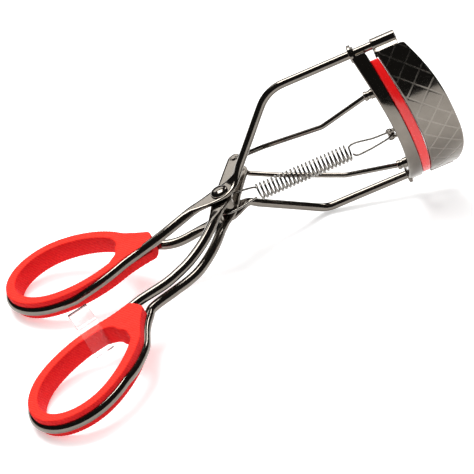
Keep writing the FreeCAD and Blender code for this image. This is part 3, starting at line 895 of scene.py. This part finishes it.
def sleeve(side):
    """The sheet's end rolled round the guide rod, with its seam left open on the inside."""
    wrap = SLEEVE_R - SLEEVE_WALL
    points = [jaw_point(0, -1.1, z) for z in (15.8, PLATE_HALF_Z)]
    for k in range(25):
        angle = math.radians(SLEEVE_FROM - SLEEVE_WRAP * k / 24)
        points.append(Vector((0, ROD_Y + wrap * math.cos(angle), ROD_Z + wrap * math.sin(angle))))
    middle = SLEEVE_BACK_X + SLEEVE_LENGTH / 2
    course = [mirrored((middle, p.y, p.z), side) for p in smooth(points, 0.25)]
    section = rectangle(SLEEVE_WALL, SLEEVE_LENGTH / 2, SLEEVE_WALL / 2)
    name = "sleeve_upper" if side > 0 else "sleeve_lower"
    sweep(course, [section] * len(course), Vector((1, 0, 0))).piece(name, NICKEL, "frame")


def bar_section(z):
    """Channel, open towards the plate."""
    t, lip = JAW_HALF_T, CHANNEL_HALF
    back = bowed(BAR_BACK, BAR_HALF_Z, z)
    front = bowed(BAR_FRONT, BAR_HALF_Z, z)
    floor = bowed(BAR_FLOOR, PAD_HALF_Z, z)
    return rounded_section([(front, -t, 0.22), (front, -lip, 0.22), (floor, -lip, 0.15), (floor, lip, 0.15),
                            (front, lip, 0.22), (front, t, 0.22), (back, t, 0.45), (back, -t, 0.45)], 4)


def pad_section(z):
    """Root held in the channel, and a wider pressing face in front."""
    half, thin = JAW_HALF_T - 0.08, ROOT_HALF
    root = bowed(PAD_ROOT, PAD_HALF_Z, z)
    neck = bowed(PAD_NECK, PAD_HALF_Z, z)
    face = bowed(PAD_FACE, PAD_HALF_Z, z)
    return rounded_section([(root, -thin, 0.2), (neck, -thin, 0.08), (neck, -half, 0.25), (face, -half, 0.3),
                            (face, half, 0.3), (neck, half, 0.25), (neck, thin, 0.08), (root, thin, 0.2)], 4)


def curve_y(z):
    return jaw_point(0, 0, z).y


def eyelet(side):
    """Thin flange with a short collar, sliding on the guide rod."""
    bore = ROD_R + 0.06
    half = EYELET_W / 2
    outline = rounded_section([(-half, bore, 0.05), (half, bore, 0.05), (half, bore + 0.45, 0.12),
                               (0.25, bore + 0.5, 0.1), (0.25, EYELET_R, 0.2), (-half, EYELET_R, 0.2)])
    name = "upper" if side > 0 else "lower"
    lathe(outline, Vector((EYELET_X, ROD_Y, side * ROD_Z)), (1, 0, 0), True).piece(
        "slide_eyelet_" + name, NICKEL, "jaw", ["eyelet_" + name])


def link_boss(side):
    """Stepped ferrule that holds the link's end."""
    name = "upper" if side > 0 else "lower"
    centre = Vector((BOSS_X, curve_y(BOSS_Z), side * BOSS_Z))
    outline = [(-1.3, 0.82), (-1.3, 1.0), (-1.18, 1.1), (-0.62, 1.1), (-0.5, 0.97), (0.05, 0.97),
               (0.15, 1.15), (1.65, 1.15), (1.65, 0.82)]
    lathe(outline, centre, (1, 0, 0), True, 24).piece(
        "ferrule_" + name, NICKEL, "jaw", ["link_boss_" + name], 25)


def spring_lug():
    """Forked tab on the back of the bar and the headed post that the spring hooks round."""
    y = curve_y(0)
    profile = [(-1.25, 0.55), (-1.15, 0.72), (-0.95, 0.72), (-0.85, POST_R), (0.85, POST_R), (0.95, 0.72),
               (1.15, 0.72), (1.25, 0.55)]
    lug = lathe(profile, Vector((FRONT_POST_X, y, 0)), UP, False, 28)
    for side in (1, -1):
        ends = [Vector((x, y, 0.82 * side)) for x in (FRONT_POST_X, 42.0)]
        lug.join(sweep(ends, [rectangle(0.5, 0.26, 0.12)] * 2))
    lug.piece("spring_post", NICKEL, "jaw", ["spring_lug"])


# ---------------------------------------------------------------- links and spring
def link(side):
    """Pin end up through the lever's hole, then forward and outward into the jaw's ferrule."""
    end = Vector((BOSS_X - 0.9, curve_y(BOSS_Z), BOSS_Z))
    low = LINK_R + 0.03
    pin = Vector((SHORT_ARM.x, SHORT_ARM.y, low))
    course = bent([pin + UP * 2.0, pin, LINK_KNEE, LINK_SPREAD, LINK_BEND, end], LINK_RADII)
    name = "upper" if side > 0 else "lower"
    across = Vector((0.3, 1, 0)).normalized()
    round_bar([mirrored(p, side) for p in course], LINK_R, 0.3, across).piece(
        "link_rod_" + name, NICKEL, "links", ["link_" + name])


def return_spring():
    """One drawn wire: rear hook round the spacer, coil, and front hook round the post."""
    post_y = curve_y(0)
    rear = [(7.4, -2.4), (5.6, -3.1), (3.0, -3.9), (0.4, -4.0), (-1.5, -3.1), (-2.4, -1.2), (-2.3, 0.9),
            (-0.9, 2.3), (1.6, 2.5), (5.0, 2.1), (7.2, 1.5)]
    coil = []
    for k in range(COIL_TURNS * COIL_SAMPLES + 1):
        angle = 2 * math.pi * k / COIL_SAMPLES
        middle = COIL_START.lerp(COIL_END, k / (COIL_TURNS * COIL_SAMPLES))
        coil.append(middle + Vector((0, math.cos(angle), math.sin(angle))) * COIL_R)
    r = POST_R + COIL_WIRE_R + 0.02
    front = [(30.9, 2.0), (32.0, 2.1), (36.0, post_y + r + 0.4), (FRONT_POST_X, post_y + r),
             (FRONT_POST_X + r, post_y), (FRONT_POST_X, post_y - r), (37.5, -1.9), (34.5, -2.5), (31.6, -2.6),
             (31.0, -1.7)]
    controls = [Vector((x, y, 0)) for x, y in rear] + coil + [Vector((x, y, 0)) for x, y in front]
    course = smooth(controls, 0.45)
    rings = []
    normal = UP
    for point, head in zip(course, tangents(course)):
        normal = (normal - head * normal.dot(head)).normalized()
        side = head.cross(normal)
        rings.append([point + side * a + normal * b for a, b in oval(COIL_WIRE_R, COIL_WIRE_R, 2, 10)])
    spring = Shape().rings(rings).piece("coil_spring", SPRING, "frame", ["return_spring"], ROUND)
    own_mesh(spring)


# ---------------------------------------------------------------- stage, camera and light
def stage():
    half = 3.0
    corners = [(-half, -half, 0), (half, -half, 0), (half, half, 0), (-half, half, 0)]
    mesh = bpy.data.meshes.new("floor")
    mesh.from_pydata(corners, [], [(0, 1, 2, 3)])
    mesh.materials.append(pale_floor())
    floor = bpy.data.objects.new("floor", mesh)
    bpy.context.scene.collection.objects.link(floor)


def aimed(data, name, at, aim, right=None):
    """Place a camera or lamp so that it looks at a point, in the frame of the floor."""
    item = bpy.data.objects.new(name, data)
    bpy.context.scene.collection.objects.link(item)
    back = (at - aim).normalized()
    right = right or UP.cross(back)
    right = (right - back * right.dot(back)).normalized()
    turn = Matrix((right, back.cross(right), back)).transposed()
    item.matrix_world = Matrix.Translation(at) @ turn.to_4x4()
    return item


def camera():
    """A long lens, held level with a slight roll, looking across the curler from the lever's side."""
    data = bpy.data.cameras.new("camera")
    data.sensor_width = 36.0
    data.lens = CAMERA_LENS
    data.clip_start = 0.01
    right = TURN.to_3x3() @ CAMERA_RIGHT
    bpy.context.scene.camera = aimed(data, "camera", TO_ROW @ CAMERA_AT, TO_ROW @ CAMERA_AIM, right)


def softbox(name, at, size, power, seen=True):
    """A rectangular lamp aimed at the curler; seen says whether the metal reflects it."""
    data = bpy.data.lights.new(name, "AREA")
    data.shape = "RECTANGLE"
    data.size, data.size_y = size
    data.energy = power
    lamp = aimed(data, name, Vector(at), Vector((0, 0, 0.01)), Vector((1, 0.01, 0)))
    lamp.visible_glossy = seen


def light():
    world = bpy.data.worlds.new("studio")
    world.use_nodes = True
    world.node_tree.nodes["Background"].inputs["Color"].default_value = (1, 1, 1, 1)
    world.node_tree.nodes["Background"].inputs["Strength"].default_value = 0.03
    bpy.context.scene.world = world
    softbox("key", (-0.12, 0.28, 0.72), (0.36, 0.36), 4.0)
    softbox("back", (-0.15, 0.55, 0.42), (0.50, 0.22), 0.8)
    softbox("rim", (0.35, 0.45, 0.35), (0.10, 0.30), 0.8)
    softbox("fill", (0.0, -0.1, 1.2), (1.6, 1.6), 14.0, False)
    bpy.context.scene.view_settings.view_transform = "Standard"


# ---------------------------------------------------------------- the curler
stage()
camera()
light()
frame_wire()
lever_wire()
grip("frame_grip_ring", FRAME_LOOP, FRAME_ENTRY, 1, "frame")
grip("lever_grip_ring", LEVER_LOOP, LEVER_ENTRY, -1, "lever")
keeper_band()
pivot_rivet()
spacer_bush()
top_plate()
jaw_sweep(bar_section, BAR_HALF_Z, JAW_STEP).piece("channel_bar", NICKEL, "jaw", ["jaw_bar"])
jaw_sweep(pad_section, PAD_HALF_Z, JAW_STEP).piece("pressing_pad", PAD_RED, "jaw", ["silicone_pad"], ROUND)
spring_lug()
for side in (1, -1):
    sleeve(side)
    eyelet(side)
    link_boss(side)
    link(side)
return_spring()
